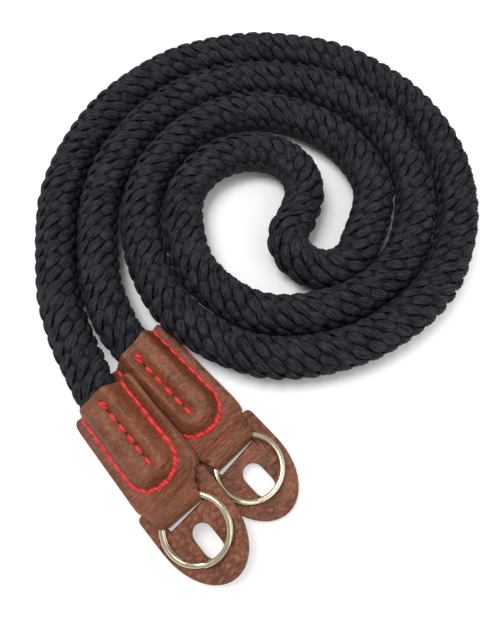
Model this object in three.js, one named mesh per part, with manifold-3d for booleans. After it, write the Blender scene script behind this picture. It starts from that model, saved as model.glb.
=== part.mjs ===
// A rope camera strap, laid down as a flat coil with its two leather ends side by side.
// The rope is doubled at its middle and wound in a plane, so its two legs run next to each other.
// Each end is a folded leather sleeve, a split ring in its fold and a leather guard under the ring.
// Millimetres, +Z up, the strap resting on z = 0.

import * as THREE from 'three';
import Module from 'manifold-3d';

const wasm = await Module();
wasm.setup();

// Rope: a round rope, pressed into the padded section of its sleeve over the last stretch
const ROPE_DIAMETER = 10;
const ROPE_RADIUS = ROPE_DIAMETER / 2;
const ROPE_SIDES = 12;
const ROPE_STEP = 4.2;
const ROPE_SQUEEZE = 9;
const ROPE_LEAD = 8;
const MOUTH_LEVEL = 4.2;

// Coil: where its centre lies from the middle of the whole strap
const COIL_CENTRE = { x: -0.31, y: 20.93 };

// The passes of rope, clockwise from the lower left: at each bearing from the coil's centre, the radius
// of leg A's two passes and of leg B's two passes. The second passes run into the S-bend.
const PASSES = [
  { bearing: 210, a1: 54.7, b1: 44.1, a2: 31.9, b2: 20.9 },
  { bearing: 180, a1: 49.5, b1: 39.1, a2: 28.5, b2: 17.8 },
  { bearing: 150, a1: 46.6, b1: 36.3, a2: 25.7, b2: 14.9 },
  { bearing: 120, a1: 45.7, b1: 35.4, a2: 25.1, b2: 12.9 },
  { bearing: 90, a1: 45.7, b1: 35.4, a2: 25.0, b2: 12.2 },
  { bearing: 60, a1: 47.5, b1: 37.2, a2: 25.5, b2: 12.2 },
  { bearing: 30, a1: 49.5, b1: 39.1, a2: 27.5, b2: 12.2 },
  { bearing: 0, a1: 50.5, b1: 40.1, a2: 29.7, b2: 12.2 },
  { bearing: -30, a1: 50.1, b1: 39.8, a2: 29.2, b2: 12.2 },
  { bearing: -60, a1: 47.0, b1: 36.5 },
  { bearing: -90, a1: 43.7, b1: 32.9 },
  { bearing: -120, a1: 38.0, b1: 26.9 },
];

// The fold at the middle of the rope: an arc that ends leg A and meets leg B's last arc in an S
const FOLD_CENTRE = { x: 16.5, y: -12.9 };
const FOLD_RADIUS = 9;
const FOLD_BEARINGS = [-40, -75, -110, -145, -180];

// The way from the sleeves' mouths up to the first pass, from the coil's centre
const LEG_A = [{ x: -39.2, y: -46.7, z: 5.7 }, { x: -42.7, y: -40.5, z: 5.2 }, { x: -45.5, y: -33.8, z: 5 }];
const LEG_B = [{ x: -32.3, y: -37.3, z: 5 }, { x: -35.1, y: -32.0, z: 5 }, { x: -37.0, y: -27.1, z: 5 }];

// Leather ends: the ring's centre from the coil's centre, the heading of the end, its roll, how far its
// inner flange is turned up where it lies on the other end, and how long its sleeve is sewn
const RING_AT = 35.6;
const RING_LEVEL = 4;
const ENDS = [
  { name: '1', ring: { x: -13.45, y: -81.78 }, heading: -51.4, roll: 19, flangeLift: 3.2, stretch: 0.94 },
  { name: '2', ring: { x: -2.42, y: -68.77 }, heading: -45.9, roll: 0, flangeLift: 0, stretch: 1 },
];

// Sleeve, measured along the end from the first centre stitch
const LEATHER = 1.2;
const CLEARANCE = 0.3;
const SLAB = 2 * LEATHER;
const MOUTH_AT = -1.6;
const FOLD_AT = 32.7;
const SLEEVE_OUTLINE = [
  { u: MOUTH_AT, half: 8 },
  { u: -0.8, half: 8.6 },
  { u: 0.8, half: 8.8 },
  { u: 8, half: 8.8 },
  { u: 15, half: 8.8 },
  { u: 22, half: 8.8 },
  { u: 24.8, half: 8.0 },
  { u: 27, half: 6.9 },
  { u: 29.4, half: 5.7 },
  { u: 31.2, half: 4.75 },
  { u: FOLD_AT, half: 4.7 },
];
const SLEEVE_EDGE = 8.8;
const FLANGE_ROWS = 6;
const FLANGE_ROOT = 5.4;

// Padded front of the sleeve over the rope's end: two ridges with a sewn valley between them
const PAD = [
  { u: MOUTH_AT, half: 6.2, top: 8.2, valley: 7.4 },
  { u: 0, half: 6.2, top: 7.8, valley: 6.2 },
  { u: 2, half: 6.1, top: 7.4, valley: 5.5 },
  { u: 6, half: 6.1, top: 6.9, valley: 5.1 },
  { u: 12, half: 6.1, top: 6.5, valley: 4.9 },
  { u: 16.5, half: 6.0, top: 6.1, valley: 4.7 },
  { u: 19.5, half: 5.4, top: 5.4, valley: 4.6 },
  { u: 21.6, half: 4.1, top: 4.2, valley: 4.0 },
  { u: 23, half: 2.4, top: 2.2, valley: 2.2 },
];
// Outline of one padded section from its edge to its ridge, as shares of its half width and height, then
// the foot of the ridge as shares of the half width and of the step from valley to ridge
const RIDGE_SHAPE = [
  { across: 1, rise: 0 },
  { across: 1, rise: 0.45 },
  { across: 0.86, rise: 0.8 },
  { across: 0.52, rise: 1 },
];
const RIDGE_FOOT = { across: 0.2, step: 0.35 };
const CAVITY_ROWS = 7;
const ROPE_END_ROWS = 6;
const PAST_MOUTH = 1;

// Neck: the front tongue rises over the ring and folds down through the guard's slit to the back
const NECK_TOP = 7.0;
const NECK_CREST = 5.0;
const NECK_EAVE = { half: 7.0, top: 5 };
const NECK_RISE = { from: 23.4, to: 27.4 };
const NECK_ROUND = 2.4;
const ARC_STEPS = 4;
const SLOT_STEPS = 12;
const NOSE_STEPS = 24;
const TUNNEL = { from: 25.3, mouthTop: 3.85 };

// Ring guard: a flat tab with a slit for the tongue and a slot
const GUARD_THICK = 1.4;
const GUARD_PITCH = 5;
const GUARD_PIVOT = { u: 33, w: LEATHER + CLEARANCE };
const GUARD = { from: 26, half: 9.25, corner: 1.2, tipCentre: 35, tip: 48.3 };
const SLIT = { from: 30.9, to: 33.1, half: 5.3, corner: 0.5 };
const SLOT = { from: 34.9, to: 43, half: 2.4 };

// Split ring: flat wire wound twice round, with a step where it changes level
const RING_OUTER = 7.8;
const RING_WIRE = { width: 1.15, height: 0.8, bevel: 0.25, gap: 0.08 };
const RING_STEP = { bearing: 275, half: 20 };
const RING_TURN_STEPS = 32;

// Finishes
const ROPE_FINISH = { color: 0x2b2d31, roughness: 0.85, metalness: 0 };
const LEATHER_FINISH = { color: 0x875541, roughness: 0.6, metalness: 0 };
const RING_FINISH = { color: 0xb8ae8f, roughness: 0.25, metalness: 1 };

const { degToRad, lerp, smoothstep } = THREE.MathUtils;
const flat = (x, y) => new THREE.Vector2(x, y);

// A closed skin through rings of points, with a flat cap of the contour's triangles at each end
function loft(rings, contour) {
  const sides = contour.length;
  const triangles = [];
  for (let i = 0; i + 1 < rings.length; i += 1) {
    for (let k = 0; k < sides; k += 1) {
      const a = i * sides + k;
      const b = i * sides + ((k + 1) % sides);
      triangles.push([a, b, b + sides], [a, b + sides, a + sides]);
    }
  }
  const last = (rings.length - 1) * sides;
  for (const [a, b, c] of THREE.ShapeUtils.triangulateShape(contour, [])) {
    triangles.push([a, c, b], [last + a, last + b, last + c]);
  }
  const geometry = new THREE.BufferGeometry().setFromPoints(rings.flat());
  geometry.setIndex(triangles.flat());
  geometry.computeVertexNormals();
  return geometry;
}

// Solids for joining and cutting, and the way back to a geometry
function solid(geometry) {
  const vertProperties = new Float32Array(geometry.attributes.position.array);
  const triVerts = new Uint32Array(geometry.index.array);
  return new wasm.Manifold(new wasm.Mesh({ numProp: 3, vertProperties, triVerts }));
}

function geometryOf(manifold) {
  const mesh = manifold.getMesh();
  const geometry = new THREE.BufferGeometry();
  geometry.setAttribute('position', new THREE.BufferAttribute(mesh.vertProperties, 3));
  geometry.setIndex(new THREE.BufferAttribute(mesh.triVerts, 1));
  geometry.computeVertexNormals();
  return geometry;
}

// Prisms of an outline: one seen from above, one from the side and one from the end
function planPrism(outline, low, high) {
  const rings = [low, high].map((w) => outline.map((p) => new THREE.Vector3(p.x, p.y, w)));
  return solid(loft(rings, outline));
}

function sidePrism(outline, half) {
  const rings = [half, -half].map((v) => outline.map((p) => new THREE.Vector3(p.x, v, p.y)));
  return solid(loft(rings, outline));
}

function endPrism(outline, from, to) {
  const rings = [from, to].map((u) => outline.map((p) => new THREE.Vector3(u, p.x, p.y)));
  return solid(loft(rings, outline));
}

function arc(centre, radius, from, to, steps) {
  return Array.from({ length: steps + 1 }, (_, i) => {
    const angle = degToRad(lerp(from, to, i / steps));
    return flat(centre.x + radius * Math.cos(angle), centre.y + radius * Math.sin(angle));
  });
}

const mirrored = (points) => points.map((p) => flat(p.x, -p.y)).reverse();

// One cross-section of the padded front, drawn inwards by inset, as 12 points from its bottom centre
function padSection(row, inset) {
  const half = row.half - inset;
  const high = row.top - inset;
  const valley = row.valley - inset;
  const right = [
    ...RIDGE_SHAPE.map(({ across, rise }) => flat(across * half, lerp(inset, high, rise))),
    flat(RIDGE_FOOT.across * half, lerp(valley, high, RIDGE_FOOT.step)),
  ];
  const left = right.map((p) => flat(-p.x, p.y)).reverse();
  return [flat(0, inset), ...right, flat(0, valley), ...left];
}

function pad(rows, inset) {
  const sections = rows.map((row) => padSection(row, inset));
  const rings = rows.map(({ u }, i) => sections[i].map((p) => new THREE.Vector3(u, p.x, p.y)));
  return solid(loft(rings, sections[0]));
}

// The sleeve seen from the side: two leathers sewn flat, then the neck up to the fold
function sleeveSide() {
  const foot = arc({ x: FOLD_AT - LEATHER, y: LEATHER }, LEATHER, -90, 0, ARC_STEPS);
  const shoulder = arc({ x: FOLD_AT - NECK_ROUND, y: NECK_TOP - NECK_ROUND }, NECK_ROUND, 0, 90, ARC_STEPS);
  const rise = Array.from({ length: ARC_STEPS + 1 }, (_, i) => {
    const t = 1 - i / ARC_STEPS;
    return flat(lerp(NECK_RISE.from, NECK_RISE.to, t), lerp(SLAB, NECK_TOP, smoothstep(t, 0, 1)));
  });
  return [flat(MOUTH_AT, 0), ...foot, ...shoulder, ...rise, flat(MOUTH_AT, SLAB)];
}

// The neck seen from the end: a level top whose sides come down to the eaves
function neckEnd(drop) {
  const high = NECK_TOP - drop;
  const low = NECK_EAVE.top - drop;
  const reach = SLEEVE_EDGE + 2;
  const right = [flat(reach, -1), flat(reach, low), flat(NECK_EAVE.half, low), flat(NECK_CREST, high)];
  const outline = [...right, ...right.map((p) => flat(-p.x, p.y)).reverse()];
  return endPrism(outline, MOUTH_AT - 1, FOLD_AT + 1);
}

// The room between the front and back tongues for the ring's wire and the guard's bar
function tunnelSide() {
  const top = NECK_TOP - LEATHER;
  const to = FOLD_AT - LEATHER;
  const round = NECK_ROUND - LEATHER;
  return [
    flat(TUNNEL.from, LEATHER),
    flat(to, LEATHER),
    ...arc({ x: to - round, y: top - round }, round, 0, 90, ARC_STEPS),
    flat(NECK_RISE.to, top),
    flat(TUNNEL.from, TUNNEL.mouthTop),
  ];
}

// A flange beyond the stitch line; lift turns its edge up, most at the mouth
function flange(side, lift) {
  const rows = SLEEVE_OUTLINE.slice(0, FLANGE_ROWS);
  const level = (u) => lift * (1 - smoothstep(u, 0, rows[FLANGE_ROWS - 1].u));
  const sections = rows.map(({ u, half }) => [
    flat(FLANGE_ROOT, 0),
    flat(half, level(u)),
    flat(half, level(u) + SLAB),
    flat(FLANGE_ROOT, SLAB),
  ]);
  const turned = side > 0 ? sections : sections.map((s) => s.map((p) => flat(-p.x, p.y)).reverse());
  const rings = turned.map((s, i) => s.map((p) => new THREE.Vector3(rows[i].u, p.x, p.y)));
  return solid(loft(rings, turned[0]));
}

function sleeve({ flangeLift }) {
  const tail = SLEEVE_OUTLINE.slice(FLANGE_ROWS - 1);
  const root = [flat(MOUTH_AT, -FLANGE_ROOT), flat(tail[0].u, -FLANGE_ROOT)];
  const edge = [...root, ...tail.map(({ u, half }) => flat(u, -half))];
  const core = planPrism([...edge, ...mirrored(edge)], -1, NECK_TOP + 1);
  const tongues = sidePrism(sleeveSide(), SLEEVE_EDGE + 1).intersect(neckEnd(0));
  const tunnel = sidePrism(tunnelSide(), SLEEVE_EDGE + 1).intersect(neckEnd(LEATHER));
  const body = core.intersect(tongues).add(flange(1, flangeLift)).add(flange(-1, 0)).subtract(tunnel);
  const beyond = { ...PAD[0], u: MOUTH_AT - PAST_MOUTH };
  const cavity = pad([beyond, ...PAD.slice(0, CAVITY_ROWS)], LEATHER);
  return geometryOf(body.add(pad(PAD, 0)).subtract(cavity));
}

function ringGuard() {
  const { from, half, corner, tipCentre, tip } = GUARD;
  const heel = arc({ x: from + corner, y: -half + corner }, corner, 180, 270, ARC_STEPS);
  const nose = arc({ x: 0, y: 0 }, 1, -90, 90, NOSE_STEPS);
  const round = nose.map((p) => flat(tipCentre + p.x * (tip - tipCentre), p.y * half));
  const outline = [...heel, ...round, ...mirrored(heel)];
  const nearEnd = arc({ x: SLOT.from + SLOT.half, y: 0 }, SLOT.half, 90, 270, SLOT_STEPS);
  const farEnd = arc({ x: SLOT.to - SLOT.half, y: 0 }, SLOT.half, -90, 90, SLOT_STEPS);
  const slot = planPrism([...nearEnd, ...farEnd], -1, GUARD_THICK + 1);
  const side = -SLIT.half + SLIT.corner;
  const nearCorner = arc({ x: SLIT.from + SLIT.corner, y: side }, SLIT.corner, 180, 270, ARC_STEPS);
  const farCorner = arc({ x: SLIT.to - SLIT.corner, y: side }, SLIT.corner, 270, 360, ARC_STEPS);
  const slitEdge = [...nearCorner, ...farCorner];
  const slit = planPrism([...slitEdge, ...mirrored(slitEdge)], -1, GUARD_THICK + 1);
  return geometryOf(planPrism(outline, 0, GUARD_THICK).subtract(slot).subtract(slit));
}

// Wire of the split ring: the lower turn, the step up, the upper turn
function splitRing() {
  const { width, height, bevel, gap } = RING_WIRE;
  const radius = RING_OUTER - width / 2;
  const level = (height + gap) / 2;
  const x = width / 2;
  const y = height / 2;
  const wire = [
    flat(x, -y + bevel), flat(x, y - bevel), flat(x - bevel, y), flat(-x + bevel, y),
    flat(-x, y - bevel), flat(-x, -y + bevel), flat(-x + bevel, -y), flat(x - bevel, -y),
  ];
  const from = RING_STEP.bearing + RING_STEP.half;
  const sweep = 720 - 2 * RING_STEP.half;
  const steps = 2 * RING_TURN_STEPS;
  const middle = from + sweep / 2;
  const rings = Array.from({ length: steps + 1 }, (_, i) => {
    const bearing = from + (sweep * (steps - i)) / steps;
    const climb = smoothstep(bearing, middle - RING_STEP.half, middle + RING_STEP.half);
    const w = lerp(-level, level, climb);
    const along = new THREE.Vector3(Math.cos(degToRad(bearing)), Math.sin(degToRad(bearing)), 0);
    return wire.map((p) => along.clone().multiplyScalar(radius + p.x).setZ(w + p.y));
  });
  return loft(rings, wire);
}

// The rope's centre line, from inside sleeve 1 round the coil and back to inside sleeve 2
function polar(centre, radius, bearing) {
  const angle = degToRad(bearing);
  const x = centre.x + radius * Math.cos(angle);
  return new THREE.Vector3(x, centre.y + radius * Math.sin(angle), ROPE_RADIUS);
}

function ropeRoute(mouths) {
  const middle = { x: 0, y: 0 };
  const pass = (column) => {
    const rows = PASSES.filter((row) => column in row);
    return rows.map((row) => polar(middle, row[column], row.bearing));
  };
  const legA = [...LEG_A.map((p) => new THREE.Vector3(p.x, p.y, p.z)), ...pass('a1'), ...pass('a2')];
  const legB = [...LEG_B.map((p) => new THREE.Vector3(p.x, p.y, p.z)), ...pass('b1'), ...pass('b2')];
  const fold = FOLD_BEARINGS.map((bearing) => polar(FOLD_CENTRE, FOLD_RADIUS, bearing));
  const [first, second] = mouths;
  const points = [first.lead, first.mouth, ...legA, ...fold, ...legB.reverse(), second.mouth, second.lead];
  const route = new THREE.CatmullRomCurve3(points, false, 'centripetal');
  route.arcLengthDivisions = 4000;
  return route;
}

// The rope as rings of points: pressed ends in the sleeves, round between them
function rope(ends) {
  const inset = LEATHER + CLEARANCE;
  const rows = PAD.slice(0, ROPE_END_ROWS);
  const mouths = ends.map(({ matrix }, i) => {
    const { stretch } = ENDS[i];
    const mouthAt = stretch * MOUTH_AT;
    return {
      matrix,
      stretch,
      mouth: new THREE.Vector3(mouthAt, 0, MOUTH_LEVEL).applyMatrix4(matrix),
      lead: new THREE.Vector3(mouthAt + ROPE_LEAD, 0, MOUTH_LEVEL).applyMatrix4(matrix),
      up: new THREE.Vector3(0, 0, 1).transformDirection(matrix),
    };
  });
  const pressed = ({ matrix, stretch }, turn) => rows.map((row) => padSection(row, inset)
    .map((p) => new THREE.Vector3(stretch * row.u, turn * p.x, p.y).applyMatrix4(matrix)));
  const round = arc({ x: 0, y: 0 }, ROPE_RADIUS, -90, 270, ROPE_SIDES).slice(0, ROPE_SIDES);
  const mouthSection = padSection(rows[0], inset).map((p) => flat(p.x, p.y - MOUTH_LEVEL));
  const route = ropeRoute(mouths);
  const length = route.getLength();
  const free = length - 2 * ROPE_LEAD;
  const steps = Math.round(free / ROPE_STEP);
  const between = Array.from({ length: steps - 1 }, (_, i) => {
    const s = (free * (i + 1)) / steps;
    const near = s < free / 2 ? mouths[0] : mouths[1];
    const roundness = smoothstep(Math.min(s, free - s), 0, ROPE_SQUEEZE);
    const at = (ROPE_LEAD + s) / length;
    const centre = route.getPointAt(at);
    const ahead = route.getTangentAt(at);
    const left = near.up.clone().lerp(new THREE.Vector3(0, 0, 1), roundness).cross(ahead).normalize();
    const up = ahead.clone().cross(left);
    return round.map((p, k) => {
      const q = mouthSection[k].clone().lerp(p, roundness);
      return centre.clone().addScaledVector(left, q.x).addScaledVector(up, q.y);
    });
  });
  const rings = [...pressed(mouths[0], -1).reverse(), ...between, ...pressed(mouths[1], 1)];
  return loft(rings, mouthSection);
}

// Assembly

function piece(name, geometry, finish) {
  const mesh = new THREE.Mesh(geometry, new THREE.MeshStandardMaterial(finish));
  mesh.name = name;
  return mesh;
}

function leatherEnd(end) {
  const group = new THREE.Group();
  const heading = degToRad(end.heading);
  const roll = degToRad(end.roll);
  const pivot = end.stretch * GUARD_PIVOT.u;
  const reach = pivot + RING_AT - GUARD_PIVOT.u;
  const shift = RING_LEVEL * Math.sin(roll);
  const x = end.ring.x - reach * Math.cos(heading) - shift * Math.sin(heading);
  const y = end.ring.y - reach * Math.sin(heading) + shift * Math.cos(heading);
  group.position.set(x, y, SLEEVE_EDGE * Math.sin(roll));
  group.rotation.set(roll, 0, heading, 'ZYX');
  group.updateMatrix();
  const pitched = new THREE.Group();
  pitched.position.set(pivot, 0, GUARD_PIVOT.w);
  pitched.rotation.y = degToRad(GUARD_PITCH);
  const guard = piece(`ring_guard_${end.name}`, ringGuard(), LEATHER_FINISH);
  guard.position.x = -GUARD_PIVOT.u;
  const ring = piece(`split_ring_${end.name}`, splitRing(), RING_FINISH);
  const ringLevel = GUARD_THICK + CLEARANCE + RING_WIRE.height + RING_WIRE.gap / 2;
  ring.position.set(RING_AT - GUARD_PIVOT.u, 0, ringLevel);
  pitched.add(guard, ring);
  const cover = piece(`sleeve_${end.name}`, sleeve(end), LEATHER_FINISH);
  cover.scale.x = end.stretch;
  group.add(cover, pitched);
  return group;
}

const strap = new THREE.Group();
strap.position.set(COIL_CENTRE.x, COIL_CENTRE.y, 0);
const ends = ENDS.map(leatherEnd);
strap.add(piece('rope', rope(ends), ROPE_FINISH), ...ends);

export default strap;
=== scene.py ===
# %% [markdown]
# A camera strap made of one braided rope, laid down as a flat coil.
# The solids of the strap are already placed, so this lesson dresses them: a rope with its real plait, two
# sewn leather ends, bright split rings and red thread. The frame is loaded first, because every piece is
# made in its millimetres.

# %% Load the frame
import math

import bpy
import numpy as np
from mathutils import Matrix, Vector


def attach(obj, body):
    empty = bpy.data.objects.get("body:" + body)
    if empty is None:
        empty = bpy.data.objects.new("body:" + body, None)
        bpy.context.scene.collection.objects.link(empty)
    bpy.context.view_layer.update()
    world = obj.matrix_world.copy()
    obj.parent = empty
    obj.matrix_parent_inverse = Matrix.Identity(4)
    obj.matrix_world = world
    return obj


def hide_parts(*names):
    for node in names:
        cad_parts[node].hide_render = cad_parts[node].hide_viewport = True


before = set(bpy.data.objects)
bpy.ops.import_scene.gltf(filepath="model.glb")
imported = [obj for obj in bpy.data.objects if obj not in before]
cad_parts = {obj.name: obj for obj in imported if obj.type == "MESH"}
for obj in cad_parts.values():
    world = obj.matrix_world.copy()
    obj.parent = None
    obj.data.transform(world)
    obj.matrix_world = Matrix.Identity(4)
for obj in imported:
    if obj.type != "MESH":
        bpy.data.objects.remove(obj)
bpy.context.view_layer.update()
MM = 0.001

# %% [markdown]
# The camera comes first, so that each piece can be looked at from the photograph's side as it is made.
# The photograph was taken from steeply above at close range, so the near leather ends look larger than the
# far side of the coil. A short distance and a matching lens give the same perspective.

# %% Camera
COIL_CENTRE = np.array([-0.31, 20.93, 0.0])
VIEW_TARGET = COIL_CENTRE + np.array([-4.2, -35.0, 5.0])
VIEW_ELEVATION = 68
VIEW_DISTANCE = 154.2
FOCAL_PIXELS, IMAGE_HEIGHT = 660, 640
SENSOR_WIDTH, NEAREST_SEEN = 36, 0.01

bpy.ops.object.select_all(action="DESELECT")
tilt = math.radians(VIEW_ELEVATION)
back = np.array([0.0, -math.cos(tilt), math.sin(tilt)])
bpy.ops.object.camera_add(
    location=(VIEW_TARGET + VIEW_DISTANCE * back) * MM,
    rotation=(math.radians(90 - VIEW_ELEVATION), 0, 0),
)
camera = bpy.context.object
camera.data.sensor_width = SENSOR_WIDTH
camera.data.lens = SENSOR_WIDTH * FOCAL_PIXELS / IMAGE_HEIGHT
camera.data.clip_start = NEAREST_SEEN
bpy.context.scene.camera = camera
print("camera at", [round(v, 4) for v in camera.location])

# %% [markdown]
# The rope's way through the coil is the one thing that has to agree with the solids, so the same short
# tables are repeated here: the two leather ends, and for each bearing the radius of every pass of rope.
# The radii were measured from the rope's edges in the photograph and evened out by a fit.
# Both legs start in a sleeve, run round twice side by side and meet in the fold at the middle.

# %% Ends and passes
ENDS = [
    {"name": "1", "ring": (-13.45, -81.78), "heading": -51.4, "roll": 19, "lift": 3.2, "stretch": 0.94,
     "seam": (0.5, 0.75), "ridges": (0.9, 1.0), "skew": 0, "tack": [(16.4, 6.2)]},
    {"name": "2", "ring": (-2.42, -68.77), "heading": -45.9, "roll": 0, "lift": 0, "stretch": 1,
     "seam": (-1.25, -1.0), "ridges": (0.95, 1.0), "skew": 2.2, "tack": []},
]
RING_AT, RING_LEVEL, GUARD_PIVOT = 35.6, 4, (33, 1.5)
SLEEVE_EDGE, MOUTH_AT = 8.8, -1.6
ROPE_RADIUS = 5.0
PASSES = {  # bearing: first and second pass of leg A, then of leg B
    210: (54.7, 31.9, 44.1, 20.9), 180: (49.5, 28.5, 39.1, 17.8), 150: (46.6, 25.7, 36.3, 14.9),
    120: (45.7, 25.1, 35.4, 12.9), 90: (45.7, 25.0, 35.4, 12.2), 60: (47.5, 25.5, 37.2, 12.2),
    30: (49.5, 27.5, 39.1, 12.2), 0: (50.5, 29.7, 40.1, 12.2), -30: (50.1, 29.2, 39.8, 12.2),
    -60: (47.0, None, 36.5, None), -90: (43.7, None, 32.9, None), -120: (38.0, None, 26.9, None),
}
FOLD_CENTRE, FOLD_RADIUS, FOLD_BEARINGS = (16.5, -12.9), 9, (-40, -75, -110, -145, -180)
LEG_A = [(-39.2, -46.7, 5.7), (-42.7, -40.5, 5.2), (-45.5, -33.8, 5)]
LEG_B = [(-32.3, -37.3, 5), (-35.1, -32.0, 5), (-37.0, -27.1, 5)]
ROPE_LEAD, MOUTH_LEVEL = 8, 4.2


def end_matrix(end):
    """From an end's own millimetres (along, across, up) to the strap's."""
    heading, roll = math.radians(end["heading"]), math.radians(end["roll"])
    reach = end["stretch"] * GUARD_PIVOT[0] + RING_AT - GUARD_PIVOT[0]
    shift = RING_LEVEL * math.sin(roll)
    place = Vector((
        COIL_CENTRE[0] + end["ring"][0] - reach * math.cos(heading) - shift * math.sin(heading),
        COIL_CENTRE[1] + end["ring"][1] - reach * math.sin(heading) + shift * math.cos(heading),
        SLEEVE_EDGE * math.sin(roll),
    ))
    turn = Matrix.Rotation(heading, 4, "Z") @ Matrix.Rotation(roll, 4, "X")
    return Matrix.Translation(place) @ turn


for end in ENDS:
    end["matrix"] = end_matrix(end)
    print("end", end["name"], "starts at", [round(v, 2) for v in end["matrix"].translation])

# %% [markdown]
# A smooth curve through the points is a centripetal spline: its steps follow the square root of the
# distance between points, so it doesn't overshoot where points lie close together.

# %% The rope's centre line
SPLINE_STEPS = 40


def around(centre, radius, bearing):
    angle = math.radians(bearing)
    return (centre[0] + radius * math.cos(angle), centre[1] + radius * math.sin(angle), ROPE_RADIUS)


def spline(points, steps):
    points = np.array(points, float)
    ends = [2 * points[0] - points[1], *points, 2 * points[-1] - points[-2]]
    t = np.linspace(0, 1, steps, endpoint=False)[:, None]
    out = []
    for p0, p1, p2, p3 in zip(ends, ends[1:], ends[2:], ends[3:]):
        a, b, c = (math.sqrt(np.linalg.norm(q - p)) for p, q in ((p0, p1), (p1, p2), (p2, p3)))
        m1 = b * ((p1 - p0) / a - (p2 - p0) / (a + b) + (p2 - p1) / b)
        m2 = b * ((p2 - p1) / b - (p3 - p1) / (b + c) + (p3 - p2) / c)
        cube = 2 * p1 - 2 * p2 + m1 + m2
        square = -3 * p1 + 3 * p2 - 2 * m1 - m2
        out.append(p1 + t * (m1 + t * (square + t * cube)))
    return np.vstack([*out, points[-1:]])


def route():
    column = [[around((0, 0), row[k], b) for b, row in PASSES.items() if row[k]] for k in range(4)]
    fold = [around(FOLD_CENTRE, FOLD_RADIUS, bearing) for bearing in FOLD_BEARINGS]
    leg_a = [*LEG_A, *column[0], *column[1]]
    leg_b = [*LEG_B, *column[2], *column[3]]
    middle = np.array([*leg_a, *fold, *leg_b[::-1]]) + COIL_CENTRE
    mouths = []
    for end in ENDS:
        at = end["stretch"] * MOUTH_AT
        mouths.append([np.array(end["matrix"] @ Vector((u, 0, MOUTH_LEVEL))) for u in (at + ROPE_LEAD, at)])
    return spline([*mouths[0], *middle, *mouths[1][::-1]], SPLINE_STEPS)


fine = route()
travel = np.concatenate([[0], np.cumsum(np.linalg.norm(np.diff(fine, axis=0), axis=1))])
ROPE_INSIDE = 2.5
ROPE_FROM, ROPE_TO = ROPE_LEAD - ROPE_INSIDE, travel[-1] - ROPE_LEAD + ROPE_INSIDE
print("free rope between the mouths:", round(travel[-1] - 2 * ROPE_LEAD, 1), "mm")

# %% [markdown]
# Everything on the rope is drawn in a frame that travels with it: the centre, the way to the left and the
# way up. Near a mouth the frame leans with its sleeve, and the round section is pressed flat, because the
# leather squeezes the rope's end.

# %% The travelling frame
ROPE_SQUEEZE = 9
PRESSED = {"wide": 0.95, "high": 0.56, "drop": 0.1}
DEEP = {"wide": 0.88, "high": 0.4, "drop": 0.9}
NUDGE = 0.4


def ease(x, low, high):
    t = np.clip((x - low) / (high - low), 0, 1)
    return t * t * (3 - 2 * t)


def rope_frame(s):
    """Centre, left, up, and the width and height of the section at travel s, in millimetres."""
    centre = np.stack([np.interp(s, travel, fine[:, k]) for k in range(3)], axis=1)
    ahead = np.stack([np.interp(s + NUDGE, travel, fine[:, k]) for k in range(3)], axis=1)
    behind = np.stack([np.interp(s - NUDGE, travel, fine[:, k]) for k in range(3)], axis=1)
    tangent = ahead - behind
    tangent /= np.linalg.norm(tangent, axis=1, keepdims=True)
    nearer = s < travel[-1] / 2
    outside = np.where(nearer, s, travel[-1] - s) - ROPE_LEAD
    round_ = ease(outside, 0, ROPE_SQUEEZE)
    deep = ease(-outside, 0, ROPE_INSIDE)
    lean = [np.array(end["matrix"].to_3x3() @ Vector((0, 0, 1))) for end in ENDS]
    up = np.where(nearer[:, None], lean[0], lean[1])
    up = up + (np.array([0, 0, 1.0]) - up) * round_[:, None]
    left = np.cross(up, tangent)
    left /= np.linalg.norm(left, axis=1, keepdims=True)
    up = np.cross(tangent, left)
    size = {}
    for key, plain in (("wide", 1.0), ("high", 1.0), ("drop", 0.0)):
        pressed = PRESSED[key] + (DEEP[key] - PRESSED[key]) * deep
        size[key] = pressed + (plain - pressed) * round_
    centre = centre - up * size["drop"][:, None]
    return centre, left, up, size["wide"], size["high"]


# %% [markdown]
# A swept piece is a row of rings of points joined by faces, with its ends closed. The same small tool makes
# the rope's core and its strands. Each gets a UV map that runs along and across it, so that fibres can
# follow the strand round the rope.

# %% Sweep tool
STRAND_SHIFT = 37.0


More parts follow.
